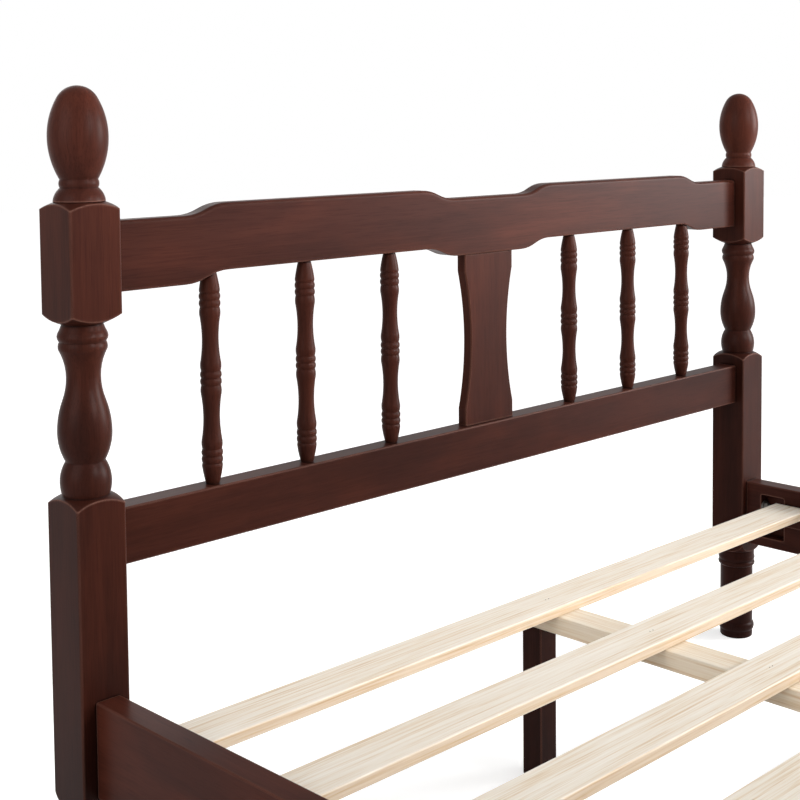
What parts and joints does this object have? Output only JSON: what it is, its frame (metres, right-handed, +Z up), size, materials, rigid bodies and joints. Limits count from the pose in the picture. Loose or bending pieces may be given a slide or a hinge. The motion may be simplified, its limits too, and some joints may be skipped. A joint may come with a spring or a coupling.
{
  "type": "spindle bed",
  "caption": "Wooden bed frame with turned head posts, egg finials, a waved crest rail over turned spindles and a flat splat, bolted side rails, and slats on a legged centre beam.",
  "frame": {"origin": "on the floor under the middle of the bed", "axes": "+Y towards the head end, +Z up, +X to the right as seen from the foot"},
  "size_m": [1.4932, 2.014, 1.0322],
  "materials": {
    "dark_wood": "satin walnut stain",
    "pine": "bare planed pine",
    "steel": "dull zinc"
  },
  "bodies": {
    "root": {"headboard_post_left": "dark_wood", "headboard_post_right": "dark_wood", "finial_left": "dark_wood", "finial_right": "dark_wood", "crest_rail": "dark_wood", "headboard_lower_rail": "dark_wood", "splat": "dark_wood", "spindle_1": "dark_wood", "spindle_2": "dark_wood", "spindle_3": "dark_wood", "spindle_4": "dark_wood", "spindle_5": "dark_wood", "spindle_6": "dark_wood", "side_rail_left": "dark_wood", "side_rail_right": "dark_wood", "foot_post_left": "dark_wood", "foot_post_right": "dark_wood", "foot_rail": "dark_wood", "slat_ledger_left": "dark_wood", "slat_ledger_right": "dark_wood", "centre_leg_head": "dark_wood", "centre_leg_middle": "dark_wood", "centre_leg_foot": "dark_wood", "slat_01": "pine", "slat_02": "pine", "slat_03": "pine", "slat_04": "pine", "slat_05": "pine", "slat_06": "pine", "slat_07": "pine", "slat_08": "pine", "slat_09": "pine", "slat_10": "pine", "centre_beam": "pine", "rail_bolts_head_left": "steel", "rail_bolts_head_right": "steel", "rail_bolts_foot_left": "steel", "rail_bolts_foot_right": "steel", "rail_nuts_head_left": "steel", "rail_nuts_head_right": "steel", "rail_nuts_foot_left": "steel", "rail_nuts_foot_right": "steel", "slat_beam_brads": "steel", "slat_end_brads_left": "steel", "slat_end_brads_right": "steel", "ledger_screws_left": "steel", "ledger_screws_right": "steel", "centre_leg_screws": "steel"}
  },
  "joints": []
}
